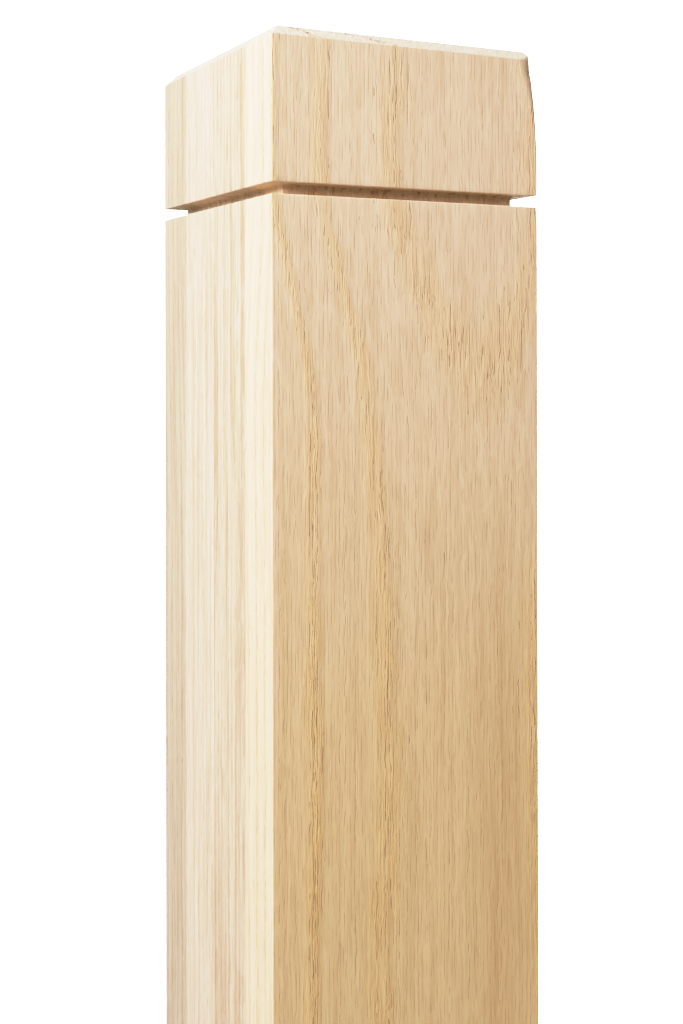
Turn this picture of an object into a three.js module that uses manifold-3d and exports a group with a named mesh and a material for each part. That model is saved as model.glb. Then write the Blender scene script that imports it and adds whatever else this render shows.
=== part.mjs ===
// Square newel post, glued up from four full-length oak boards.
// A narrow groove runs round all four sides and sets off a plain square head with bevelled top edges.
// Millimetres, +Z up. The origin is the centre of the foot, on the floor.
// The boards are stacked along Y: the front board's wide face looks towards -Y.
// All four boards show an edge on -X and on +X.
import * as THREE from 'three';
import * as BufferGeometryUtils from 'three/addons/utils/BufferGeometryUtils.js';
import Module from 'manifold-3d';

const wasm = await Module();
wasm.setup();

// The post's overall sizes
const POST_WIDTH = 88.9;
const POST_HEIGHT = 1219.2;

// The two boards in the middle keep their full thickness, and the outer two take up the rest of the width.
const CORE_BOARD_THICKNESS = 25;

// The groove and the head above it
const HEAD_HEIGHT = 44.45;
const GROOVE_HEIGHT = 3.4;
const GROOVE_DEPTH = 5.9;
const GROOVE_CORNER_RADIUS = 1;
const TOP_BEVEL = 3.2;

// The long edges are eased a little.
// The front right edge is rubbed over: heavily at the head's top, and slightly below the groove.
const EDGE_RADIUS = 0.4;
const WORN_TOP_RADIUS = 8;
const WORN_TOP_LENGTH = 38;
const WORN_LIP_RADIUS = 1.3;
const WORN_LIP_LENGTH = 9;
const WORN_FADE = 2;

// How finely the curves are divided
const EDGE_STEPS = 5;
const GROOVE_STEPS = 4;
const WORN_STEPS = 8;
const BEVEL_STEPS = 4;

const BOARD_COLOUR = { front: 0xd8bd93, core: 0xe0cba6, back: 0xd6bf9a };

const half = POST_WIDTH / 2;
const grooveTop = POST_HEIGHT - HEAD_HEIGHT;
const grooveBottom = grooveTop - GROOVE_HEIGHT;
const grooveCorner = Math.min(GROOVE_CORNER_RADIUS, GROOVE_HEIGHT / 2, GROOVE_DEPTH);

// The front right edge's radius at a height: it fades out below the head's top and below the groove's lip.
function wornRadius(z) {
  const onHead = z >= grooveTop;
  const [top, length, radius] = onHead
    ? [POST_HEIGHT, WORN_TOP_LENGTH, WORN_TOP_RADIUS]
    : [grooveBottom, WORN_LIP_LENGTH, WORN_LIP_RADIUS];
  const left = THREE.MathUtils.clamp(1 - (top - z) / length, 0, 1);
  return EDGE_RADIUS + (radius - EDGE_RADIUS) * left ** WORN_FADE;
}

// What is left of that rounding where the bevel or the groove cuts into it.
// A deep enough cut leaves a plain corner.
function radiusLeft(inset, z) {
  return Math.max(EDGE_RADIUS, wornRadius(z) - inset / (1 - Math.SQRT1_2));
}

// One level of the post: a square of half width w with rounded corners, anticlockwise from the front right.
function squareLevel(w, z, frontRightRadius) {
  const corners = [
    [1, -1, frontRightRadius],
    [1, 1, EDGE_RADIUS],
    [-1, 1, EDGE_RADIUS],
    [-1, -1, EDGE_RADIUS],
  ];
  return corners.flatMap(([sx, sy, radius], corner) =>
    Array.from({ length: EDGE_STEPS + 1 }, (_, i) => {
      const angle = (Math.PI / 2) * (corner - 1 + i / EDGE_STEPS);
      return [
        sx * (w - radius) + radius * Math.cos(angle),
        sy * (w - radius) + radius * Math.sin(angle),
        z,
      ];
    }),
  );
}

// The outline from foot to top, as pairs of inset and height.
function outline() {
  const quarter = Array.from({ length: GROOVE_STEPS + 1 }, (_, i) => (Math.PI / 2) * (i / GROOVE_STEPS));
  const centre = GROOVE_DEPTH - grooveCorner;
  const lower = quarter.map((a) => [
    centre + grooveCorner * Math.sin(a),
    grooveBottom + grooveCorner * (1 - Math.cos(a)),
  ]);
  const upper = quarter.map((a) => [
    centre + grooveCorner * Math.cos(a),
    grooveTop - grooveCorner * (1 - Math.sin(a)),
  ]);
  const steps = Array.from({ length: WORN_STEPS }, (_, i) => i / WORN_STEPS);
  const belowLip = steps.map((s) => [0, grooveBottom - WORN_LIP_LENGTH * (1 - s)]);
  const onHead = steps.map((s) => [0, POST_HEIGHT - TOP_BEVEL - (WORN_TOP_LENGTH - TOP_BEVEL) * (1 - s)]);
  const bevel = Array.from({ length: BEVEL_STEPS + 1 }, (_, i) => (TOP_BEVEL * i) / BEVEL_STEPS);
  return [
    [0, 0],
    ...belowLip,
    [0, grooveBottom],
    ...lower,
    ...upper,
    [0, grooveTop],
    ...onHead.filter(([, z]) => z > grooveTop),
    ...bevel.map((cut) => [cut, POST_HEIGHT - TOP_BEVEL + cut]),
  ];
}

// Joins the levels into one closed shell, with a fan over the foot and over the top.
function postShell() {
  const levels = outline().map(([inset, z]) => squareLevel(half - inset, z, radiusLeft(inset, z)));
  const count = levels[0].length;
  const points = levels.flat();
  const triangles = [];
  for (let level = 0; level + 1 < levels.length; level++) {
    for (let i = 0; i < count; i++) {
      const a = level * count + i;
      const b = level * count + ((i + 1) % count);
      triangles.push(a, b, b + count, a, b + count, a + count);
    }
  }
  const foot = points.push([0, 0, 0]) - 1;
  const top = points.push([0, 0, POST_HEIGHT]) - 1;
  const last = (levels.length - 1) * count;
  for (let i = 0; i < count; i++) {
    const next = (i + 1) % count;
    triangles.push(foot, next, i, top, last + i, last + next);
  }
  const geometry = new THREE.BufferGeometry();
  geometry.setAttribute('position', new THREE.Float32BufferAttribute(points.flat(), 3));
  geometry.setIndex(triangles);
  return geometry;
}

function toSolid(geometry) {
  const bare = geometry.clone();
  bare.deleteAttribute('normal');
  bare.deleteAttribute('uv');
  const merged = BufferGeometryUtils.mergeVertices(bare, 1e-4);
  return new wasm.Manifold(
    new wasm.Mesh({
      numProp: 3,
      vertProperties: new Float32Array(merged.attributes.position.array),
      triVerts: new Uint32Array(merged.index.array),
    }),
  );
}

function toGeometry(solid) {
  const mesh = solid.getMesh();
  const geometry = new THREE.BufferGeometry();
  geometry.setAttribute('position', new THREE.BufferAttribute(new Float32Array(mesh.vertProperties), 3));
  geometry.setIndex(new THREE.BufferAttribute(new Uint32Array(mesh.triVerts), 1));
  geometry.computeVertexNormals();
  return geometry;
}

// One board is the part of the post between two glue lines.
function board(post, name, colour, from, to) {
  const slab = new THREE.BoxGeometry(POST_WIDTH * 2, to - from, POST_HEIGHT * 2);
  slab.translate(0, (from + to) / 2, POST_HEIGHT / 2);
  const material = new THREE.MeshStandardMaterial({ color: colour, roughness: 0.6, metalness: 0 });
  const mesh = new THREE.Mesh(toGeometry(post.intersect(toSolid(slab))), material);
  mesh.name = name;
  return mesh;
}

const post = toSolid(postShell());
const beyond = half + POST_WIDTH / 4;
const newel = new THREE.Group();
newel.add(
  board(post, 'front_board', BOARD_COLOUR.front, -beyond, -CORE_BOARD_THICKNESS),
  board(post, 'front_core_board', BOARD_COLOUR.core, -CORE_BOARD_THICKNESS, 0),
  board(post, 'back_core_board', BOARD_COLOUR.core, 0, CORE_BOARD_THICKNESS),
  board(post, 'back_board', BOARD_COLOUR.back, CORE_BOARD_THICKNESS, beyond),
);

export default newel;
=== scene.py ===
# %% [markdown]
# A glued-up oak newel post
#
# A newel post is the stout square post that a stair's handrail runs into. This one is plain-sawn oak, glued
# up from four boards that lie one behind the other. A narrow groove is milled round it a little below the
# top, which leaves a square head, and the head's top edges are bevelled.
#
# The lesson rebuilds the post over a measured model that stays where it is. That model sets every size, and
# the visual pieces made here stand for its solids. Lengths are in millimetres until a mesh is made.

import math

import bpy
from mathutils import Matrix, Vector, noise


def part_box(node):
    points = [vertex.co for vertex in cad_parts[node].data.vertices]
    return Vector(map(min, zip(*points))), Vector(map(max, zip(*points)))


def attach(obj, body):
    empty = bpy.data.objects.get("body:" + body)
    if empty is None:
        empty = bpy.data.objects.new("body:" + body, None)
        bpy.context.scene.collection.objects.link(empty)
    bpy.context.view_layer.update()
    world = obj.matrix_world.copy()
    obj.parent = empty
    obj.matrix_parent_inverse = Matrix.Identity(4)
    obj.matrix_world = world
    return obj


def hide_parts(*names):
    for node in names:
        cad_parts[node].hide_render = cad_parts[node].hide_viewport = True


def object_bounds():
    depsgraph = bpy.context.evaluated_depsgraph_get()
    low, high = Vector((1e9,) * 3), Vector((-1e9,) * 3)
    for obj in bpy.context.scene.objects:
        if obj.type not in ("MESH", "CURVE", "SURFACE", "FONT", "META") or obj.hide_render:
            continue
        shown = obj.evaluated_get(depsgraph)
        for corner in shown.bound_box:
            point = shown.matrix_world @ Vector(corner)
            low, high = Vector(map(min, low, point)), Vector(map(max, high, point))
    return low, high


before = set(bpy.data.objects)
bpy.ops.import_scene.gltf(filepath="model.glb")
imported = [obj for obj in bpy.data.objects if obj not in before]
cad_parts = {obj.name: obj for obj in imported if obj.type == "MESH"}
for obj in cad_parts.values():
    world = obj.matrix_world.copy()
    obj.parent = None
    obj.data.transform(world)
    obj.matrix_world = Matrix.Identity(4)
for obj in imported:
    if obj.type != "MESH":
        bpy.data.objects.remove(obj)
cad_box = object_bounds()
MM = 0.001
HALF_WIDTH = cad_box[1].x / MM
POST_HEIGHT = cad_box[1].z / MM
BOARDS = ("front_board", "front_core_board", "back_core_board", "back_board")
SEAMS = {name: (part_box(name)[0].y / MM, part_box(name)[1].y / MM) for name in BOARDS}
print(f"post {2 * HALF_WIDTH:.1f} mm square and {POST_HEIGHT:.1f} mm tall, boards {SEAMS}")

# %% [markdown]
# The outline from foot to top
#
# Seen from the side, the post is a straight line that turns in at the groove and again at the bevel. No real
# edge is a perfect corner: a cutter leaves a small radius inside the groove, and sandpaper rounds the
# outside. A bevel modifier could round the finished mesh, but it can't tell one edge from another here. So
# the outline is a short list of corners, each with its own radius, and a small function swaps every corner
# for an arc.

# %% Outline corners and their radii
HEAD_HEIGHT = 44.45
GROOVE_HEIGHT = 3.4
GROOVE_DEPTH = 5.9
TOP_BEVEL = 3.2
FOOT_CHAMFER = 1.0
GROOVE_TOP = POST_HEIGHT - HEAD_HEIGHT
GROOVE_BOTTOM = GROOVE_TOP - GROOVE_HEIGHT
BEVEL_BOTTOM = POST_HEIGHT - TOP_BEVEL

# A narrow flat rim inside the foot and the top gives their outer corners something to round towards.
FOOT_RIM = 3
TOP_RIM = 2

# Each corner is an inset from the face, a height and a radius.
CORNERS = (
    (FOOT_CHAMFER + FOOT_RIM, 0.0, 0.0),
    (FOOT_CHAMFER, 0.0, 0.3),
    (0.0, FOOT_CHAMFER, 0.5),
    (0.0, GROOVE_BOTTOM, 0.45),
    (GROOVE_DEPTH, GROOVE_BOTTOM, 1.0),
    (GROOVE_DEPTH, GROOVE_TOP, 1.0),
    (0.0, GROOVE_TOP, 0.3),
    (0.0, BEVEL_BOTTOM, 0.5),
    (TOP_BEVEL, POST_HEIGHT, 0.45),
    (TOP_BEVEL + TOP_RIM, POST_HEIGHT, 0.0),
)


def rounded(before, corner, after, steps=4):
    """The points of the arc that replaces a corner between its two neighbours."""
    here = Vector(corner[:2])
    back = (Vector(before[:2]) - here).normalized()
    ahead = (Vector(after[:2]) - here).normalized()
    half_angle = back.angle(ahead) / 2
    reach = corner[2] / math.tan(half_angle)
    centre = here + (back + ahead).normalized() * corner[2] / math.sin(half_angle)
    start = (here + back * reach - centre).normalized()
    end = (here + ahead * reach - centre).normalized()
    return [centre + corner[2] * start.slerp(end, i / steps) for i in range(steps + 1)]


outline = [Vector(CORNERS[0][:2])]
for before, corner, after in zip(CORNERS, CORNERS[1:], CORNERS[2:]):
    outline += rounded(before, corner, after)
outline.append(Vector(CORNERS[-1][:2]))
print(f"the outline has {len(outline)} points")

# %% [markdown]
# Levels up the post
#
# Each board is lofted: the same cross section, drawn again at many heights and joined up. The upper part is
# seen from close by and carries the small dents and the worn edge, so its levels are about a millimetre
# apart, and closer still on the bevel. Lower down the faces are plain, and wide steps save triangles.

# %% Fill the straight runs with levels
SEEN_CLOSE = 330
FINEST_FROM = BEVEL_BOTTOM - 0.6

# Each pair is a height and the step between levels above it.
STEPS = ((FINEST_FROM, 0.45), (POST_HEIGHT - SEEN_CLOSE, 1.25), (0.0, 12.0))


def step_at(height):
    """How far apart the levels are at a height."""
    return next(step for start, step in STEPS if height >= start)


def filled(points):
    """The outline again, with extra levels wherever a straight run is long."""
    levels = [points[0]]
    for low, high in zip(points, points[1:]):
        height = low.y
        while True:
            step = step_at(height)
            height += step
            if high.y - height < step / 2:
                break
            levels.append(low.lerp(high, (height - low.y) / (high.y - low.y)))
        levels.append(high)
    return levels


levels = filled(outline)
print(f"{len(levels)} levels from foot to top")

# %% [markdown]
# The worn edge
#
# Hands and handling have rubbed the front right edge round: most of all at the head's top, where the radius
# grows towards eight millimetres, and slightly just under the groove. Elsewhere the edges are barely eased.
# The radius is a function of height, and a little noise keeps the rubbed edge from looking turned on a
# lathe. The bevel was cut through the rounding, so its own corner comes out sharper again.

# %% Radius of the worn edge at a level
EDGE_RADIUS = 0.4

# Each pair is the largest radius and the length over which it fades out.
WORN_TOP = (8.0, 38.0)
WORN_LIP = (1.3, 9.0)

# The wave is a share of the radius, and its row is where in the noise it is read.
WAVE = 0.16
WAVE_LENGTH = 5
WAVE_ROW = 3.0


def worn_radius(inset, height):
    """The radius of the front right edge at a level of the outline."""
    on_head = height >= GROOVE_TOP
    top, (radius, length) = (POST_HEIGHT, WORN_TOP) if on_head else (GROOVE_BOTTOM, WORN_LIP)
    left = min(1.0, max(0.0, 1 - (top - height) / length))
    wave = 1 + WAVE * noise.noise(Vector((0.0, WAVE_ROW, height / WAVE_LENGTH)))
    worn = EDGE_RADIUS + (radius - EDGE_RADIUS) * left * left * wave
    return max(EDGE_RADIUS, worn - inset / (1 - math.sqrt(0.5)))


for height in (BEVEL_BOTTOM, POST_HEIGHT - 10, POST_HEIGHT - 30, GROOVE_BOTTOM):
    print(f"at {height:.0f} mm the front right edge has a radius of {worn_radius(0, height):.1f} mm")

# %% [markdown]
# Points along an edge and along a face
#
# A cross section is made of quarter circles at the upright edges and straight runs between them. A curve
# object could draw the same outline, but it gives little say over where the points lie. Here each run has
# one very short step at each end, so that the fine line of glue between two boards can be drawn without
# wasting points on the rest.

# %% Spread points along runs and arcs
STEP_AROUND = 1.15
ARC_STEPS = 7
SEAM_CREASE = 0.16


def spread(length):
    """Shares from 0 to 1 along a run, about a step apart and with one short step at each end."""
    count = max(3, round(length / STEP_AROUND))
    inner = [i / count for i in range(1, count)]
    return [0.0, SEAM_CREASE / length, *inner, 1 - SEAM_CREASE / length, 1.0]


def edge_arc(sign_x, sign_y, half, radius, first_turn):
    """The arc round one upright edge. first_turn counts quarter turns from facing right."""
    centre = Vector((sign_x * (half - radius), sign_y * (half - radius)))
    arc = []
    for i in range(ARC_STEPS + 1):
        angle = (first_turn + i / ARC_STEPS) * math.pi / 2
        out = Vector((math.cos(angle), math.sin(angle)))
        arc.append((centre + out * radius, out))
    return arc


def straight(start, end, out, shares):
    """Points along a straight run, without its two ends."""
    return [(start.lerp(end, share), out) for share in shares[1:-1]]


print(f"a wide face has {len(spread(2 * HALF_WIDTH))} points across")

# %% [markdown]
# One cross section of one board
#
# A board's section is the slice of the rounded square between two glue lines. The front board owns the
# whole front face and its two corners, a core board owns only two short edges, and so on. The section is
# walked anticlockwise, always with the same number of points, so that one level joins the next without any
# sorting. A point also keeps the direction in which its surface faces, because dents and wear push it
# straight in. The middle point of a glued face has no such direction and stays where it is.

# %% Walk the section of a board
LEFT = Vector((-1, 0))
RIGHT = Vector((1, 0))
TO_FRONT = Vector((0, -1))
TO_BACK = Vector((0, 1))


def section(board, inset, height):
    """The board's section at one level, as pairs of a point and the way its surface faces."""
    low, high = SEAMS[board]
    half = HALF_WIDTH - inset
    front = low < -HALF_WIDTH + 1
    back = high > HALF_WIDTH - 1
    right_radius = worn_radius(inset, height)
    across = spread(2 * HALF_WIDTH)
    walk = []
    if front:
        walk += edge_arc(-1, -1, half, EDGE_RADIUS, 2)
        walk += straight(walk[-1][0], Vector((half - right_radius, -half)), TO_FRONT, across)
        walk += edge_arc(1, -1, half, right_radius, 3)
    else:
        walk += [(Vector((-half, low)), LEFT), (Vector((0, low)), None), (Vector((half, low)), RIGHT)]
    far = Vector((half, half - EDGE_RADIUS if back else high))
    walk += straight(walk[-1][0], far, RIGHT, spread(high - low))
    if back:
        walk += edge_arc(1, 1, half, EDGE_RADIUS, 0)
        walk += straight(walk[-1][0], Vector((EDGE_RADIUS - half, half)), TO_BACK, across)
        walk += edge_arc(-1, 1, half, EDGE_RADIUS, 1)
    else:
        walk += [(Vector((half, high)), RIGHT), (Vector((0, high)), None), (Vector((-half, high)), LEFT)]
    return walk + straight(walk[-1][0], walk[0][0], LEFT, spread(high - low))


for board in BOARDS:
    print(f"{board} has {len(section(board, 0, 600))} points around")

# %% [markdown]
# Small dents and torn fibres
#
# A planed face is never dead flat, and a cutter that comes out across the grain tears a few fibres off the
# lip. Both could be painted as bump, but then the outline would stay razor sharp against a bright
# background. So they move the points themselves, always inwards, which keeps the post inside its real size.

# %% How far a point is pushed in
PLANING = 0.05
PLANING_LENGTH = 31
EDGE_NICK = 0.24
NICK_WIDTH = 2.2
NICK_LENGTH = 4.5
NICK_GAP = 0.18
ARRIS_WIDTH = 2.2
LIP_WIDTH = 1.2
LIP_SHARE = 0.8
TEAR_WIDTH = 9.0
TEAR_HEIGHT = 1.3
TEAR_DEPTH = 0.7
SPLINTER_WIDTH = 0.9

# The layer is where in the noise the splinters are read.
SPLINTER_LAYER = 7.0


def arris(point, height):
    """1 on an upright edge or on the groove's upper lip, fading to 0 within a few millimetres."""
    upright = max(HALF_WIDTH - abs(point.x), HALF_WIDTH - abs(point.y))
    lip = abs(height - GROOVE_TOP)
    return max(0.0, 1 - upright / ARRIS_WIDTH, LIP_SHARE * (1 - lip / LIP_WIDTH))


def torn(point, height):
    """1 on the groove's upper lip at the near corner, where the cutter came out, fading to 0 around it."""
    corner = math.hypot(point.x + HALF_WIDTH, point.y + HALF_WIDTH)
    return max(0.0, 1 - corner / TEAR_WIDTH) * max(0.0, 1 - abs(height - GROOVE_TOP) / TEAR_HEIGHT)


def pushed_in(point, height):
    """Millimetres from the true face to the real one."""
    flat = 0.5 + 0.5 * noise.noise(Vector((point.x, point.y, height)) / PLANING_LENGTH)
    nick_spot = Vector((point.x / NICK_WIDTH, point.y / NICK_WIDTH, height / NICK_LENGTH))
    nick = max(0.0, noise.noise(nick_spot) - NICK_GAP) * arris(point, height)
    splinter_spot = Vector((point.x / SPLINTER_WIDTH, point.y / SPLINTER_WIDTH, SPLINTER_LAYER))
    splinter = max(0.0, 0.5 + noise.noise(splinter_spot)) * torn(point, height)
    return PLANING * flat + EDGE_NICK * nick + TEAR_DEPTH * splinter


print(f"a flat face gives {pushed_in(Vector((0, -HALF_WIDTH)), 1100):.3f} mm")

# %% [markdown]
# The four boards
#
# Every board becomes one closed mesh: levels joined by quads, and a single face across the foot and the top.
# A point that lies on a glue line is pushed in a hair more than its close neighbour, which draws the fine
# shadow line that shows between two glued boards. The same line could be painted, but it would then miss
# the light that catches on its two lips.

# %% Loft a board
SEAM_DEPTH = 0.05
ON_SEAM = 0.01
SMOOTH_BELOW = 38


def board_mesh(board):
    """The closed mesh of one board, in metres."""
    points, faces = [], []
    seams = [y for y in SEAMS[board] if abs(y) < HALF_WIDTH - 1]
    for level in levels:
        inset, height = level
        for point, out in section(board, inset, height):
            if out is not None:
                depth = pushed_in(point, height)
                if any(abs(point.y - seam) < ON_SEAM for seam in seams):
                    depth += SEAM_DEPTH
                point = point - out * depth
            points.append((point.x * MM, point.y * MM, height * MM))
    count = len(points) // len(levels)
    for ring in range(0, len(points) - count, count):
        for i in range(count):
            a, b = ring + i, ring + (i + 1) % count
            faces.append((a, b, b + count, a + count))
    faces.append(tuple(reversed(range(count))))
    faces.append(tuple(range(len(points) - count, len(points))))
    mesh = bpy.data.meshes.new(board + "_wood")
    mesh.from_pydata(points, [], faces)
    mesh.shade_smooth()
    mesh.set_sharp_from_angle(angle=math.radians(SMOOTH_BELOW))
    return mesh


print(f"each board joins {len(levels)} levels")

# %% [markdown]
# The boards in the scene
#
# Each finished board stands for its own solid of the measured model and rides on the post's one body. The
# two outer boards show their wide faces, and the two in the middle only their edges. One joined mesh would
# look the same, but separate boards can each have their own timber.

# %% Put the boards in place
pieces = {}
for board in BOARDS:
    piece = bpy.data.objects.new(board + "_wood", board_mesh(board))
    bpy.context.scene.collection.objects.link(piece)
    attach(piece, "root")
    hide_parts(board)
    pieces[board] = piece
    print(f"{piece.name}: {len(piece.data.polygons)} faces")

# %% [markdown]
# Nodes with less typing
#
# The wood is procedural, so it is built from many small nodes. They could be wired by hand in the shader
# editor, but a script can be read and repeated. A few helpers keep it short: the first adds a node, sets it
# up and wires its inputs, and the others use it for arithmetic, smooth steps, vectors, noise and mixing.
# Wherever a helper takes an input, it may be a number, a vector, a colour or another node's output.

# %% Helpers for nodes and arithmetic
def place(tree, kind, inputs=(), **settings):
    """Adds a node, applies its settings, and fills its inputs by name or number."""
    node = tree.nodes.new(kind)
    for name, value in settings.items():
        setattr(node, name, value)
    for key, value in dict(inputs).items():
        if isinstance(value, bpy.types.NodeSocket):
            tree.links.new(value, node.inputs[key])
        else:
            node.inputs[key].default_value = value
    return node


def calc(tree, operation, *values):
    """One Math node; gives its output."""
    return place(tree, "ShaderNodeMath", enumerate(values), operation=operation).outputs[0]


def ramp(tree, value, low, high, to_low=0.0, to_high=1.0):
    """A smooth step: to_low below low, to_high above high."""
    keys = {"Value": value, "From Min": low, "From Max": high, "To Min": to_low, "To Max": to_high}
    return place(tree, "ShaderNodeMapRange", keys, interpolation_type="SMOOTHSTEP").outputs["Result"]


def hypotenuse(tree, x, y):
    """The distance that two sides at right angles make."""
    return calc(tree, "SQRT", calc(tree, "ADD", calc(tree, "POWER", x, 2.0), calc(tree, "POWER", y, 2.0)))


print("arithmetic helpers are ready")

# %% Helpers for vectors, noise and mixing
def vector_times(tree, vector, factors):
    """A vector scaled on each axis."""
    return place(tree, "ShaderNodeVectorMath", {0: vector, 1: factors}, operation="MULTIPLY").outputs[0]


def vector_sum(tree, first, second):
    """Two vectors added."""
    return place(tree, "ShaderNodeVectorMath", {0: first, 1: second}, operation="ADD").outputs[0]


def noise_node(tree, vector, factors, detail, rough):
    """A noise texture on a vector that is first scaled on each axis; gives all its outputs."""
    scaled = vector_times(tree, vector, factors)
    keys = {"Vector": scaled, "Scale": 1.0, "Detail": detail, "Roughness": rough}
    return place(tree, "ShaderNodeTexNoise", keys, noise_dimensions="3D").outputs


def bent_by(tree, vector, factors, amount, detail, rough):
    """A vector moved about by noise, so that straight lines on it wander."""
    shift = noise_node(tree, vector, factors, detail, rough)["Color"]
    return vector_sum(tree, vector, vector_times(tree, shift, amount))


def white_noise(tree, key, value, dimensions):
    """A random value and colour that stay the same for the same input."""
    return place(tree, "ShaderNodeTexWhiteNoise", {key: value}, noise_dimensions=dimensions).outputs


def mixed(tree, share, first, second, blend="MIX"):
    """Two colours mixed by a share. A colour Mix node has them on sockets 6 and 7 and its result on 2."""
    node = place(tree, "ShaderNodeMix", data_type="RGBA", blend_type=blend)
    for key, value in ((0, share), (6, first), (7, second)):
        if isinstance(value, bpy.types.NodeSocket):
            tree.links.new(value, node.inputs[key])
        else:
            node.inputs[key].default_value = value
    return node.outputs[2]


print("vector, noise and colour helpers are ready")

# %% [markdown]
# Node groups
#
# All four boards need the same grain, only with other values. Copying the nodes into four materials would
# work until the first change. A group is built once, has named sockets, and is placed in each material.

# %% Helper for groups
def new_group(name, inputs, outputs):
    """A shader node group with named sockets; gives the group, its input node and its output node."""
    group = bpy.data.node_groups.new(name, "ShaderNodeTree")
    for way, sockets in (("INPUT", inputs), ("OUTPUT", outputs)):
        for socket, (kind, value) in sockets.items():
            made = group.interface.new_socket(socket, in_out=way, socket_type="NodeSocket" + kind)
            if value is not None:
                made.default_value = value
    return group, group.nodes.new("NodeGroupInput"), group.nodes.new("NodeGroupOutput")


IN_MM = (1000, 1000, 1000)
print("the group helper is ready")

# %% [markdown]
# Growth rings
#
# A tree grows a new layer each year, so wood is a stack of nested tubes round the pith. A saw cuts through
# them, and the tubes show as bands on a face and as arcs on the end. Painting bands on each face would never
# line up round a corner. This group works in solid space instead: it measures how far a point is from the
# board's own pith, and divides that by the ring width. The pith bows and sways a little with height, so a
# ring that just touches the face closes in a pointed arch, as on any flat-sawn board.

# %% Start the growth ring group
group, entry, out = new_group(
    "Growth rings",
    {
        "Position": ("Vector", None),
        "Pith X": ("Float", 20.0),
        "Pith Y": ("Float", 105.0),
        "Sway": ("Float", 0.0),
        "Sway At": ("Float", 1120.0),
        "Bow": ("Float", 0.0),
        "Bow From": ("Float", 1055.0),
        "Bow To": ("Float", 1180.0),
        "Ring Width": ("Float", 5.0),
        "Phase": ("Float", 0.0),
        "Seed": ("Float", 0.0),
    },
    {"Earlywood": ("Float", None), "Latewood": ("Float", None), "Grain": ("Vector", None)},
)
given = entry.outputs
in_mm = vector_times(group, given["Position"], IN_MM)
seeded = vector_sum(group, in_mm, given["Seed"])
xyz = place(group, "ShaderNodeSeparateXYZ", {0: in_mm}).outputs
print(f"{group.name} takes {len(given) - 1} values")

# %% Measure how far the point is from the pith
SWAY_REACH = 65.0
level = calc(group, "ABSOLUTE", calc(group, "SUBTRACT", xyz["Z"], given["Sway At"]))
swayed = ramp(group, level, 0.0, SWAY_REACH, 1.0, 0.0)
bowed = ramp(group, xyz["Z"], given["Bow From"], given["Bow To"])
pith_x = calc(group, "MULTIPLY_ADD", swayed, given["Sway"], given["Pith X"])
pith_y = calc(group, "MULTIPLY_ADD", bowed, given["Bow"], given["Pith Y"])
away_x = calc(group, "SUBTRACT", xyz["X"], pith_x)
away_y = calc(group, "SUBTRACT", xyz["Y"], pith_y)
across = hypotenuse(group, away_x, away_y)
print(f"the pith's sway fades out over {SWAY_REACH} mm")

# %% [markdown]
# The parts of a year
#
# A tree grows fast and open in spring, and dense later on. So the fraction of a ring says how far into its
# year the wood is. Early wood starts a little softly, so that its edge casts no hard line, then fades into
# late wood. Two noises bend the rings, one slow and one quick. A third makes early wood patchy, and each
# year gets its own strength, since no two summers are alike.

# %% Place the point within its year
SLOW_BEND = (0.006, 0.006, 0.012)
QUICK_BEND = (0.12, 0.12, 0.06)
PATCHES = (0.16, 0.16, 0.035)
slow = noise_node(group, seeded, SLOW_BEND, 1.0, 0.5)["Fac"]
quick = noise_node(group, seeded, QUICK_BEND, 2.0, 0.6)["Fac"]
wavy = calc(group, "ADD", calc(group, "MULTIPLY", slow, 2.0), calc(group, "MULTIPLY", quick, 1.3))
turns = calc(group, "DIVIDE", calc(group, "ADD", across, wavy), given["Ring Width"])
turns = calc(group, "ADD", turns, given["Phase"])
within = calc(group, "FRACT", turns)
year = white_noise(group, "W", calc(group, "FLOOR", turns), "1D")["Value"]
early = calc(group, "MULTIPLY", ramp(group, within, 0.0, 0.16), ramp(group, within, 0.2, 0.44, 1.0, 0.0))
patches = noise_node(group, seeded, PATCHES, 2.0, 0.6)["Fac"]
early = calc(group, "MULTIPLY", early, ramp(group, patches, 0.34, 0.54, 0.5, 1.0))
early = calc(group, "MULTIPLY", early, ramp(group, year, 0.0, 1.0, 0.6, 1.0))
group.links.new(early, out.inputs["Earlywood"])
group.links.new(ramp(group, within, 0.3, 1.0), out.inputs["Latewood"])
print("early wood takes the first part of each ring")

# %% [markdown]
# A frame that follows the grain
#
# Pores and rays need to know which way the wood runs: along the ring, across the rings, and up the tree.
# World axes would do on one face and fail round the corner. The distance along the ring comes from the
# pith's straight position, without its sway, because the rays stay upright where the rings lean.

# %% Measure along the ring
straight_x = calc(group, "SUBTRACT", xyz["X"], given["Pith X"])
straight_y = calc(group, "SUBTRACT", xyz["Y"], given["Pith Y"])
turned = calc(group, "ARCTAN2", straight_x, calc(group, "ABSOLUTE", straight_y))
along = calc(group, "MULTIPLY", turned, hypotenuse(group, straight_x, straight_y))
grain = place(group, "ShaderNodeCombineXYZ", {"X": along, "Y": across, "Z": xyz["Z"]}).outputs[0]
group.links.new(vector_sum(group, grain, given["Seed"]), out.inputs["Grain"])
growth_rings = group
print(f"{group.name}: {len(group.nodes)} nodes")

# %% [markdown]
# Pores
#
# Oak looks like oak because its pores are open. They are fine tubes that run up the tree, so an end cut
# shows dots, and a face cuts them lengthwise into short slots. Stretched noise gives vague smears. A Voronoi
# texture across the grain does better: each cell point is the middle of a tube with a real width, and since
# the tubes wander a little on their way up, a flat cut meets each of them for a few millimetres and loses it
# again.

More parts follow.
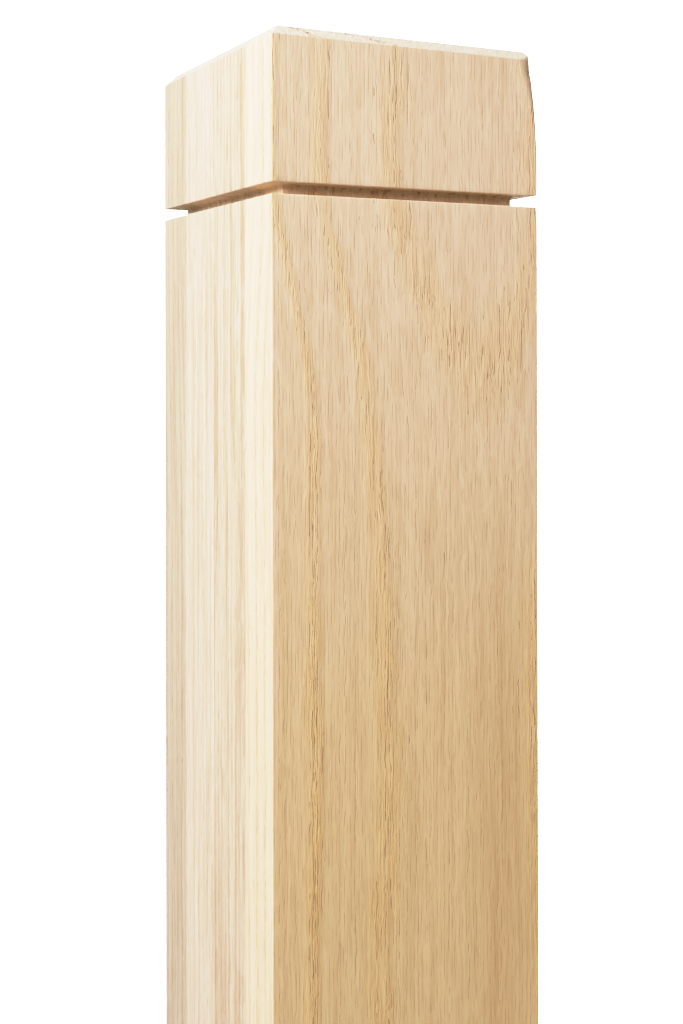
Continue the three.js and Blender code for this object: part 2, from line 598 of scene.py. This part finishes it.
# %% Build the pore group
group, entry, out = new_group(
    "Open pores",
    {
        "Grain": ("Vector", None),
        "Spacing": ("Float", 1.0),
        "Half Width": ("Float", 0.15),
        "Softness": ("Float", 0.08),
        "Share": ("Float", 0.5),
    },
    {"Pores": ("Float", None)},
)
given = entry.outputs
cells = {"Vector": given["Grain"], "Scale": calc(group, "DIVIDE", 1.0, given["Spacing"]), "Randomness": 1.0}
tubes = place(group, "ShaderNodeTexVoronoi", cells, voronoi_dimensions="2D", feature="F1").outputs
luck = place(group, "ShaderNodeSeparateColor", {0: tubes["Color"]}).outputs
away = calc(group, "MULTIPLY", tubes["Distance"], given["Spacing"])
width = calc(group, "MULTIPLY", given["Half Width"], calc(group, "MULTIPLY_ADD", luck["Green"], 0.6, 0.6))
depth = calc(group, "DIVIDE", calc(group, "SUBTRACT", width, away), given["Softness"])
inside = ramp(group, depth, -1.0, 1.0)
open_here = calc(group, "LESS_THAN", luck["Red"], given["Share"])
group.links.new(calc(group, "MULTIPLY", inside, open_here), out.inputs["Pores"])
open_pores = group
print(f"{group.name}: {len(group.nodes)} nodes")

# %% [markdown]
# Rays
#
# Rays are thin sheets that run out from the pith to the bark. Where they end on a face that was sawn flat,
# they show as short dark dashes, pointed at both ends. A noise can't draw those. Here the face is divided
# into upright columns, each slid up or down by its own amount so that no rows show, and every cell of a
# column holds one dash with its own place, length and depth. Its width shrinks to nothing at its two ends.

# %% Divide the face into cells
group, entry, out = new_group(
    "Ray dashes",
    {
        "Grain": ("Vector", None),
        "Spacing": ("Float", 1.25),
        "Reach": ("Float", 11.5),
        "Half Width": ("Float", 0.16),
        "Half Length": ("Float", 6.2),
    },
    {"Rays": ("Float", None)},
)
given = entry.outputs
SLIDE = 9.0
grain = place(group, "ShaderNodeSeparateXYZ", {0: given["Grain"]}).outputs
column = calc(group, "DIVIDE", grain["X"], given["Spacing"])
number = calc(group, "FLOOR", column)
slide = white_noise(group, "W", number, "1D")["Value"]
row = calc(group, "MULTIPLY_ADD", slide, SLIDE, calc(group, "DIVIDE", grain["Z"], given["Reach"]))
cell = place(group, "ShaderNodeCombineXYZ", {"X": number, "Y": calc(group, "FLOOR", row)}).outputs[0]
luck = white_noise(group, "Vector", cell, "2D")["Color"]
luck = place(group, "ShaderNodeSeparateColor", {0: luck}).outputs
print(f"a column slides by up to {SLIDE} cells")

# %% Draw one dash in each cell
middle = calc(group, "MULTIPLY_ADD", luck["Red"], 0.4, 0.3)
off_middle = calc(group, "ABSOLUTE", calc(group, "SUBTRACT", calc(group, "FRACT", column), middle))
sideways = calc(group, "MULTIPLY", off_middle, given["Spacing"])
lengthways = calc(group, "MULTIPLY", calc(group, "SUBTRACT", calc(group, "FRACT", row), 0.5), given["Reach"])
length = calc(group, "MULTIPLY", given["Half Length"], calc(group, "MULTIPLY_ADD", luck["Green"], 0.55, 0.42))
taper = calc(group, "SUBTRACT", 1.0, calc(group, "POWER", calc(group, "DIVIDE", lengthways, length), 2.0))
room = calc(group, "SUBTRACT", calc(group, "MULTIPLY", given["Half Width"], taper), sideways)
depth = calc(group, "MULTIPLY_ADD", luck["Blue"], 0.7, 0.3)
group.links.new(calc(group, "MULTIPLY", ramp(group, room, -0.1, 0.1), depth), out.inputs["Rays"])
ray_dashes = group
print(f"{group.name}: {len(group.nodes)} nodes")

# %% [markdown]
# All the grain together
#
# Every board needs the same set: big pores crowded into the early part of each ring, small pores between
# them, ray dashes, and the faint streaks of the fibres. They could sit side by side in each material, but
# inside one group the pores and streaks share one bent grain and stay in step. The rays are only nudged
# sideways, so that they stay upright.

# %% Build the oak grain group
BEND = {"factors": (0.25, 0.25, 0.11), "amount": (2.2, 1.8, 0.0), "detail": 2.0, "rough": 0.6}
NUDGE = {"factors": (0.04, 0.04, 0.02), "amount": (2.0, 0.0, 0.0), "detail": 1.0, "rough": 0.5}
BIG_PORES = {"Spacing": 0.8, "Half Width": 0.16, "Softness": 0.07}
SMALL_PORES = {"Spacing": 0.85, "Half Width": 0.11, "Softness": 0.07, "Share": 0.35}
SMALL_DEPTH = 0.55
group, entry, out = new_group(
    "Oak grain",
    {"Grain": ("Vector", None), "Earlywood": ("Float", 0.0)},
    {"Pores": ("Float", None), "Rays": ("Float", None), "Fibre": ("Float", None), "Streaks": ("Float", None)},
)
given = entry.outputs
bent = bent_by(group, given["Grain"], **BEND)
crowd = calc(group, "MULTIPLY", given["Earlywood"], 0.85)
big = {"Grain": bent, "Share": crowd, **BIG_PORES}
big = place(group, "ShaderNodeGroup", big, node_tree=open_pores).outputs["Pores"]
small = {"Grain": bent, **SMALL_PORES}
small = place(group, "ShaderNodeGroup", small, node_tree=open_pores).outputs["Pores"]
nudged = bent_by(group, given["Grain"], **NUDGE)
rays = place(group, "ShaderNodeGroup", {"Grain": nudged}, node_tree=ray_dashes).outputs["Rays"]
group.links.new(calc(group, "MAXIMUM", big, calc(group, "MULTIPLY", small, SMALL_DEPTH)), out.inputs["Pores"])
group.links.new(rays, out.inputs["Rays"])
group.links.new(noise_node(group, bent, (1.5, 1.5, 0.05), 2.0, 0.7)["Fac"], out.inputs["Fibre"])
group.links.new(noise_node(group, bent, (0.5, 0.5, 0.012), 3.0, 0.65)["Fac"], out.inputs["Streaks"])
oak_grain = group
print(f"{group.name}: {len(group.nodes)} nodes")

# %% [markdown]
# Where the post was cut, and painted shade
#
# The groove's cutter runs hot and leaves its walls brown, with darker scorched patches. The brown over the
# groove's ceiling and the upper part of its back wall is also painted shade, where the head's lip shades the
# recess. The bevel and the top are freshly cut end grain, pale and flecked where fibres tore out. A dark
# olive spot at the top of the worn front right edge is painted shade, where the rounded corner turns from the
# light.
# Vertex paint could mark those places, but all of them are simple bands or spots. This group finds them from
# the position alone and gives one mask for each.

# %% Find the groove and its scorched patches
group, entry, out = new_group(
    "Cut marks and shade",
    {"Position": ("Vector", None)},
    {name: ("Float", None) for name in ("Groove", "Burn", "Bevel", "Specks", "Corner Shade")},
)
in_mm = vector_times(group, entry.outputs["Position"], IN_MM)
xyz = place(group, "ShaderNodeSeparateXYZ", {0: in_mm}).outputs
far_x = calc(group, "ABSOLUTE", xyz["X"])
far_y = calc(group, "ABSOLUTE", xyz["Y"])
inset = calc(group, "SUBTRACT", HALF_WIDTH, calc(group, "MAXIMUM", far_x, far_y))
# The groove mask covers the ceiling and the upper back wall. Its brown is partly tool burn and partly painted
# shade under the lip.
over = ramp(group, xyz["Z"], GROOVE_BOTTOM + 0.9, GROOVE_TOP - 0.4)
under = ramp(group, xyz["Z"], GROOVE_TOP - 0.15, GROOVE_TOP + 0.25, 1.0, 0.0)
groove = calc(group, "MULTIPLY", calc(group, "MULTIPLY", over, under), ramp(group, inset, 0.25, 1.1))
scorch = noise_node(group, in_mm, (0.7, 0.7, 0.25), 2.0, 0.6)["Fac"]
group.links.new(groove, out.inputs["Groove"])
group.links.new(calc(group, "MULTIPLY", groove, ramp(group, scorch, 0.5, 0.68)), out.inputs["Burn"])
print(f"the groove's mask lies between {GROOVE_BOTTOM:.1f} and {GROOVE_TOP:.1f} mm")

# %% Find the bevel, its specks and the painted corner shade
CRUMB = (1.3, 1.3, 1.3)
# Painted shade: a dark olive spot at the top of the worn front right corner, which turns from the light.
CORNER_SHADE_SPOT = (42.6, -42.9, POST_HEIGHT - 6)
bevel = ramp(group, xyz["Z"], BEVEL_BOTTOM - 0.3, BEVEL_BOTTOM + 0.4)
crumbs = noise_node(group, in_mm, CRUMB, 2.0, 0.6)["Fac"]
from_corner_shade = {0: in_mm, 1: CORNER_SHADE_SPOT}
from_corner_shade = place(group, "ShaderNodeVectorMath", from_corner_shade, operation="DISTANCE").outputs["Value"]
near_corner_shade = ramp(group, from_corner_shade, 1.0, 3.4, 0.9, 0.0)
group.links.new(bevel, out.inputs["Bevel"])
group.links.new(calc(group, "MULTIPLY", bevel, ramp(group, crumbs, 0.46, 0.56)), out.inputs["Specks"])
# The mask of the painted shade spot at the top of the worn corner.
group.links.new(calc(group, "MULTIPLY", near_corner_shade, ramp(group, crumbs, 0.36, 0.5)), out.inputs["Corner Shade"])
cut_marks_and_shade = group
print(f"{group.name}: {len(group.nodes)} nodes")

# %% [markdown]
# The colour of bare oak
#
# Early wood is a little warmer and darker than late wood, and the fibres lay streaks of two sizes over both.
# One image of oak could carry all that, but it would repeat and stretch. Multiplying three masks keeps each
# of them adjustable and lets every board have its own tones.

# %% Mix the bare wood
PALE_STREAK = (1.05, 1.06, 1.07, 1)
DARK_FIBRE = (0.93, 0.90, 0.86, 1)
PALE_FIBRE = (1.06, 1.06, 1.07, 1)


def bare_wood(tree, year, wood, late, early, streak):
    """Rings, broad streaks and fine fibres."""
    colour = mixed(tree, year["Earlywood"], (*late, 1), (*early, 1))
    streaky = mixed(tree, ramp(tree, wood["Streaks"], 0.32, 0.62), (*streak, 1), PALE_STREAK)
    colour = mixed(tree, 1.0, colour, streaky, "MULTIPLY")
    fine = mixed(tree, ramp(tree, wood["Fibre"], 0.3, 0.7), DARK_FIBRE, PALE_FIBRE)
    return mixed(tree, 1.0, colour, fine, "MULTIPLY")


print("bare wood is rings times streaks times fibres")

# %% [markdown]
# Painted shade and a streak on the wide faces
#
# Below the head the wide faces are painted darker and more golden: painted shade, for the light that falls
# off and turns warmer down the post. One broad darker streak in the wood runs down the right of the front.
# Noise would put such changes in the wrong places. Both are slow changes over the whole board, so they are
# bands of height and width that multiply the colour, and they keep to the faces sawn flat.

# %% Paint shade low on the wide faces, and the streak
# Painted shade: below these heights the wide faces darken and turn golden, as the light falls off down the
# post.
SHADED_BELOW = (960, 1185)
STREAK_MIDDLE = 31
STREAK_CORE = 3
STREAK_REACH = 12
STREAK_TOP = 1090
STREAK_FADE = 80


def shade_low_and_streak(tree, colour, position, flat_sawn, low_shade, stain):
    """The colour again, with painted shade that makes it darker and more golden low down, and darker in one
    broad streak.
    """
    spot = place(tree, "ShaderNodeSeparateXYZ", {0: vector_times(tree, position, IN_MM)}).outputs
    # Painted shade, darker and more golden low down on the flat-sawn faces.
    low = calc(tree, "MULTIPLY", ramp(tree, spot["Z"], *SHADED_BELOW, 1.0, 0.0), flat_sawn)
    colour = mixed(tree, low, colour, mixed(tree, 1.0, colour, (*low_shade, 1), "MULTIPLY"))
    beside = calc(tree, "ABSOLUTE", calc(tree, "SUBTRACT", spot["X"], STREAK_MIDDLE))
    inside = ramp(tree, beside, STREAK_CORE, STREAK_REACH, 1.0, 0.0)
    below = ramp(tree, spot["Z"], STREAK_TOP - STREAK_FADE, STREAK_TOP, 1.0, 0.0)
    dark = calc(tree, "MULTIPLY", calc(tree, "MULTIPLY", inside, below), flat_sawn)
    return mixed(tree, dark, colour, mixed(tree, 1.0, colour, (*stain, 1), "MULTIPLY"))


# Painted shade starts below the height printed here.
print(f"the wide faces age below {SHADED_BELOW[1]} mm")

# %% [markdown]
# What the tools and hands did, and painted shade
#
# The rest is laid on in layers: first the fresh end grain of the bevel with its torn specks, and a spot of
# painted shade at the top of the worn corner, then the rays and pores that every cut opens, and last the
# brown of the groove, part tool burn and part painted shade, which covers them. Mixing by masks from the
# groups keeps every mark sharp at any distance, which a painted image would not.

# %% Lay on the marks
SCORCHED = (0.16, 0.115, 0.055, 1)
# The groove's brown: tool burn and painted shade in the recess.
GROOVE_BURN_AND_SHADE = (0.36, 0.28, 0.16, 1)
TORN_SPECK = (0.19, 0.11, 0.04, 1)
# Painted shade at the top of the worn corner.
CORNER_SHADE = (0.30, 0.25, 0.12, 1)
FRESH_CUT = (0.88, 0.80, 0.67, 1)
FRESH_SHARE = 0.6
RAY_SHARE = 0.38
PORE_SHARE = 0.75
GROOVE_SHARE = 0.75
BURN_SHARE = 0.7


def marked_and_shaded(tree, colour, marks, year, rays, pores, pore):
    """The colour again, with end grain, specks, painted corner shade, rays, pores and the groove's brown of
    burn and painted shade.
    """
    torn_here = calc(tree, "MULTIPLY_ADD", year["Earlywood"], 0.8, 0.2)
    layers = (
        (calc(tree, "MULTIPLY", marks["Bevel"], FRESH_SHARE), FRESH_CUT),
        (calc(tree, "MULTIPLY", marks["Specks"], torn_here), TORN_SPECK),
        # Painted shade: the dark spot at the top of the worn corner.
        (marks["Corner Shade"], CORNER_SHADE),
        (calc(tree, "MULTIPLY", rays, RAY_SHARE), (*pore, 1)),
        (calc(tree, "MULTIPLY", pores, PORE_SHARE), (*pore, 1)),
        # Tool burn and painted shade: the groove's brown darkens the recess under the head's lip.
        (calc(tree, "MULTIPLY", marks["Groove"], GROOVE_SHARE), GROOVE_BURN_AND_SHADE),
        (calc(tree, "MULTIPLY", marks["Burn"], BURN_SHARE), SCORCHED),
    )
    for share, tone in layers:
        colour = mixed(tree, share, colour, tone)
    return colour


print("marks are laid on from the bevel to the scorched groove")

# %% [markdown]
# The relief of the grain
#
# Pores are pits, rays are faint furrows, and rough fibre stands up where the cut crossed early wood or end
# grain. Modelled as geometry they would need millions of faces. A bump map gives the same play of light at
# this depth of a fraction of a millimetre, and the outline doesn't miss it.

# %% Shape the relief
RELIEF = 0.0002
RELIEF_STRENGTH = 0.6


def relief(tree, marks, year, rays, wood):
    """The bumped normal of the wood."""
    rough_cut = calc(tree, "MAXIMUM", marks["Bevel"], year["Earlywood"])
    rough_cut = calc(tree, "MULTIPLY_ADD", rough_cut, 2.2, 0.35)
    dips = calc(tree, "SUBTRACT", calc(tree, "MULTIPLY", rough_cut, wood["Fibre"]), wood["Pores"])
    dips = calc(tree, "MULTIPLY_ADD", rays, -0.3, dips)
    keys = {"Height": dips, "Strength": RELIEF_STRENGTH, "Distance": RELIEF}
    return place(tree, "ShaderNodeBump", keys).outputs[0]


print(f"the relief is at most {RELIEF / MM:.1f} mm for each unit of height")

# %% [markdown]
# The oak material
#
# All four boards are oak from different planks: one is paler, one yellower, one pinker. One function builds
# the material, and each board gives it its own pith, ring width and colours. Rays only show on the faces
# that were sawn flat, so the surface's own direction masks them. Late wood is dense and takes a slightly
# better polish, which the roughness follows.

# %% Function for each board's oak
def oak(name, rings, late, early, pore, streak, low_shade=(1, 1, 1), stain=(1, 1, 1)):
    """A procedural oak material. Its last two colours tint the wide face below the head: the first is painted
    shade, darker and more golden low down, and the second a darker streak.
    """
    material = bpy.data.materials.new(name)
    material.use_nodes = True
    tree = material.node_tree
    tree.nodes.clear()
    place_on = place(tree, "ShaderNodeTexCoord").outputs
    position = place_on["Object"]
    year = place(tree, "ShaderNodeGroup", {"Position": position, **rings}, node_tree=growth_rings).outputs
    keys = {"Grain": year["Grain"], "Earlywood": year["Earlywood"]}
    wood = place(tree, "ShaderNodeGroup", keys, node_tree=oak_grain).outputs
    marks = place(tree, "ShaderNodeGroup", {"Position": position}, node_tree=cut_marks_and_shade).outputs
    facing = place(tree, "ShaderNodeSeparateXYZ", {0: place_on["Normal"]}).outputs
    flat_sawn = ramp(tree, calc(tree, "ABSOLUTE", facing["Y"]), 0.55, 0.95)
    rays = calc(tree, "MULTIPLY", wood["Rays"], flat_sawn)
    colour = bare_wood(tree, year, wood, late, early, streak)
    # Painted shade low down on the wide faces, with the wood's streak.
    colour = shade_low_and_streak(tree, colour, position, flat_sawn, low_shade, stain)
    # Painted shade in the groove and at the top of the worn corner is laid on with the marks.
    colour = marked_and_shaded(tree, colour, marks, year, rays, wood["Pores"], pore)
    gloss = calc(tree, "MULTIPLY_ADD", year["Latewood"], -0.06, 0.60)
    keys = {"Base Color": colour, "Roughness": gloss, "Normal": relief(tree, marks, year, rays, wood)}
    shader = place(tree, "ShaderNodeBsdfPrincipled", keys)
    place(tree, "ShaderNodeOutputMaterial", {"Surface": shader.outputs[0]})
    return material


print("the oak function is ready")

# %% [markdown]
# Four planks
#
# The two outer boards were sawn flat and show wide rings with arches, so their piths lie far outside the
# board and bow towards it. The two in the middle show only their edges, with close rings. The tones differ
# from board to board, which is what lets the eye find the glue lines.

# %% Choose the four planks
OAKS = {
    "front_board": {
        "rings": {"Pith X": 17.8, "Pith Y": 105, "Ring Width": 5.4, "Phase": 0.765, "Bow": -4.9, "Sway": 6},
        "late": (0.78, 0.57, 0.405),
        "early": (0.78, 0.525, 0.305),
        "pore": (0.37, 0.23, 0.125),
        "streak": (0.94, 0.91, 0.87),
        # Painted shade: the front face darker and more golden low down.
        "low_shade": (0.93, 0.875, 0.66),
        "stain": (0.91, 0.87, 0.82),
    },
    "front_core_board": {
        "rings": {"Pith X": 0, "Pith Y": 150, "Ring Width": 2.6, "Seed": 31.0},
        "late": (0.63, 0.485, 0.36),
        "early": (0.55, 0.40, 0.275),
        "pore": (0.36, 0.23, 0.13),
        "streak": (0.74, 0.66, 0.58),
    },
    "back_core_board": {
        "rings": {"Pith X": 30, "Pith Y": 130, "Ring Width": 3.1, "Seed": 57.0},
        "late": (0.69, 0.53, 0.41),
        "early": (0.63, 0.47, 0.345),
        "pore": (0.42, 0.28, 0.17),
        "streak": (0.84, 0.79, 0.73),
    },
    "back_board": {
        "rings": {"Pith X": -14, "Pith Y": -95, "Ring Width": 4.4, "Bow": 3.0, "Seed": 83.0},
        "late": (0.51, 0.40, 0.295),
        "early": (0.45, 0.345, 0.24),
        "pore": (0.32, 0.20, 0.12),
        "streak": (0.86, 0.83, 0.80),
        # Painted shade: the back face a little darker and more golden low down.
        "low_shade": (0.98, 0.96, 0.88),
    },
}
for board, looks in OAKS.items():
    material = oak("oak_" + board, **looks)
    pieces[board].data.materials.append(material)
    print(f"{material.name}: rings {looks['rings']['Ring Width']} mm apart")

# %% [markdown]
# The floor
#
# The post stands in a bright, plain studio whose background washes out to white. A pale floor carries it.
# Near the post the floor is an ordinary matt surface that takes a shadow, and further out it fades to pure
# white for the camera alone, so it never shows a horizon and never lights the post. A shadow catcher would
# leave no floor at all.

# %% Make the floor
FLOOR_RADIUS = 3.0
RIM_POINTS = 96
WHITE_FROM, WHITE_AT = 0.2, 1.8
FLOOR_PAINT = (0.88, 0.87, 0.85, 1)
WHITE = (1, 1, 1, 1)
BACKDROP_LIGHT = 12.0
turns = [turn * math.tau / RIM_POINTS for turn in range(RIM_POINTS)]
rim = [(FLOOR_RADIUS * math.cos(turn), FLOOR_RADIUS * math.sin(turn), 0) for turn in turns]
floor_mesh = bpy.data.meshes.new("studio_floor")
floor_mesh.from_pydata(rim, [], [tuple(range(RIM_POINTS))])
floor = bpy.data.objects.new("studio_floor", floor_mesh)
bpy.context.scene.collection.objects.link(floor)
print(f"the floor is {2 * FLOOR_RADIUS} m across")

# %% Fade the floor to white
floor_look = bpy.data.materials.new("studio_floor")
floor_look.use_nodes = True
tree = floor_look.node_tree
tree.nodes.clear()
matt = place(tree, "ShaderNodeBsdfPrincipled", {"Base Color": FLOOR_PAINT, "Roughness": 0.8})
white = place(tree, "ShaderNodeEmission", {"Color": WHITE, "Strength": BACKDROP_LIGHT})
spot = place(tree, "ShaderNodeTexCoord").outputs["Object"]
distance = place(tree, "ShaderNodeVectorMath", {0: spot}, operation="LENGTH").outputs["Value"]
seen = place(tree, "ShaderNodeLightPath").outputs["Is Camera Ray"]
fade = calc(tree, "MULTIPLY", ramp(tree, distance, WHITE_FROM, WHITE_AT), seen)
blend = place(tree, "ShaderNodeMixShader", {0: fade, 1: matt.outputs[0], 2: white.outputs[0]})
place(tree, "ShaderNodeOutputMaterial", {"Surface": blend.outputs[0]})
floor_mesh.materials.append(floor_look)
print(f"floor fades to white between {WHITE_FROM} and {WHITE_AT} m")

# %% [markdown]
# Light
#
# One big soft light stands to the left and above, so the left face is several times as bright as the front
# and the light falls off down the post. The pale, slightly warm room fills the shadows, and a wide, weak
# reflector behind keeps the two hidden sides from going dull. A sun lamp would light the whole post evenly
# and lose the fall-off.

# %% Light the room
ROOM_LIGHT = 0.4
ROOM_COLOUR = (1.0, 0.90, 0.76, 1)
world = bpy.data.worlds.new("white_studio")
world.use_nodes = True
tree = world.node_tree
tree.nodes.clear()
seen = place(tree, "ShaderNodeLightPath").outputs["Is Camera Ray"]
strength = ramp(tree, seen, 0.0, 1.0, ROOM_LIGHT, BACKDROP_LIGHT)
shade = mixed(tree, seen, ROOM_COLOUR, WHITE)
sky = place(tree, "ShaderNodeBackground", {"Color": shade, "Strength": strength})
place(tree, "ShaderNodeOutputWorld", {"Surface": sky.outputs[0]})
bpy.context.scene.world = world
print(f"the room gives {ROOM_LIGHT} and shows as {BACKDROP_LIGHT} behind the post")

# %% Hang the two lights
def softbox(name, spot, aim, size, power):
    """A square area light at a spot, turned to face another."""
    lamp = bpy.data.lights.new(name, "AREA")
    lamp.size = size
    lamp.energy = power
    holder = bpy.data.objects.new(name, lamp)
    holder.location = spot
    holder.rotation_euler = (Vector(aim) - Vector(spot)).to_track_quat("-Z", "Y").to_euler()
    bpy.context.scene.collection.objects.link(holder)
    print(f"{name}: {power} W from {size} m square")


softbox("window_light", (-0.64, -0.28, 1.51), (0, 0, 1.15), 0.5, 15)
softbox("back_reflector", (1.25, 1.35, 1.35), (0, 0, 0.8), 1.6, 34)

# %% [markdown]
# Film
#
# Film and sensors don't clip a very bright face: they bend it towards white. A tone curve with a soft
# shoulder does that here. A filmic view transform would too, but it also greys the middle tones. This curve
# leaves the darker half of the tones alone, so the wood's own colours stay true.

# %% Bend the bright tones
FILM_WHITE = 5.0

# Each pair is the light that falls on the film and how bright it shows.
FILM_SHOULDER = (
    (0.3, 0.3),
    (0.5, 0.5),
    (0.7, 0.66),
    (0.9, 0.775),
    (1.3, 0.878),
    (1.8, 0.94),
    (2.6, 0.975),
    (3.8, 0.992),
)
film = bpy.context.scene.view_settings
film.view_transform = "Standard"
film.use_curve_mapping = True
film.curve_mapping.white_level = (FILM_WHITE,) * 3
curve = film.curve_mapping.curves[3]
for light, shown in FILM_SHOULDER:
    curve.points.new(light / FILM_WHITE, shown)
film.curve_mapping.update()
print("the film shoulder bends light above 0.5")

# %% [markdown]
# The camera
#
# The camera stands close, a little below the post's top, and is turned about 26 degrees off the front face.
# Tilting it down would make the upright edges run together. A shift of the lens keeps it level while the
# frame looks down the post, as on a view camera, so the upright edges stay upright.

# %% Set up the camera
FRAME_HEIGHT = 1024
FOCAL_PIXELS = 1438.0
EYE_LEVEL_ROW = 352.0
SENSOR = 36.0
EYE = (-0.20553, -0.41150, 1.1260)
EYE_TURN = (90.144, 0.097, -26.473)
lens = bpy.data.cameras.new("photo_camera")
lens.sensor_fit = "VERTICAL"
lens.sensor_height = SENSOR
lens.lens = FOCAL_PIXELS * SENSOR / FRAME_HEIGHT
lens.shift_y = (EYE_LEVEL_ROW - FRAME_HEIGHT / 2) / FRAME_HEIGHT
camera = bpy.data.objects.new("photo_camera", lens)
camera.location = EYE
camera.rotation_euler = [math.radians(turn) for turn in EYE_TURN]
bpy.context.scene.collection.objects.link(camera)
bpy.context.scene.camera = camera
print(f"lens {lens.lens:.1f} mm, shift {lens.shift_y:.3f}")

# %% [markdown]
# Boards and solids
#
# The visual post is built to stay inside the measured one; this last cell only counts its boards against the
# solids.

# %% Count the boards and finish
print(f"{len(pieces)} boards stand for {len(BOARDS)} solids")
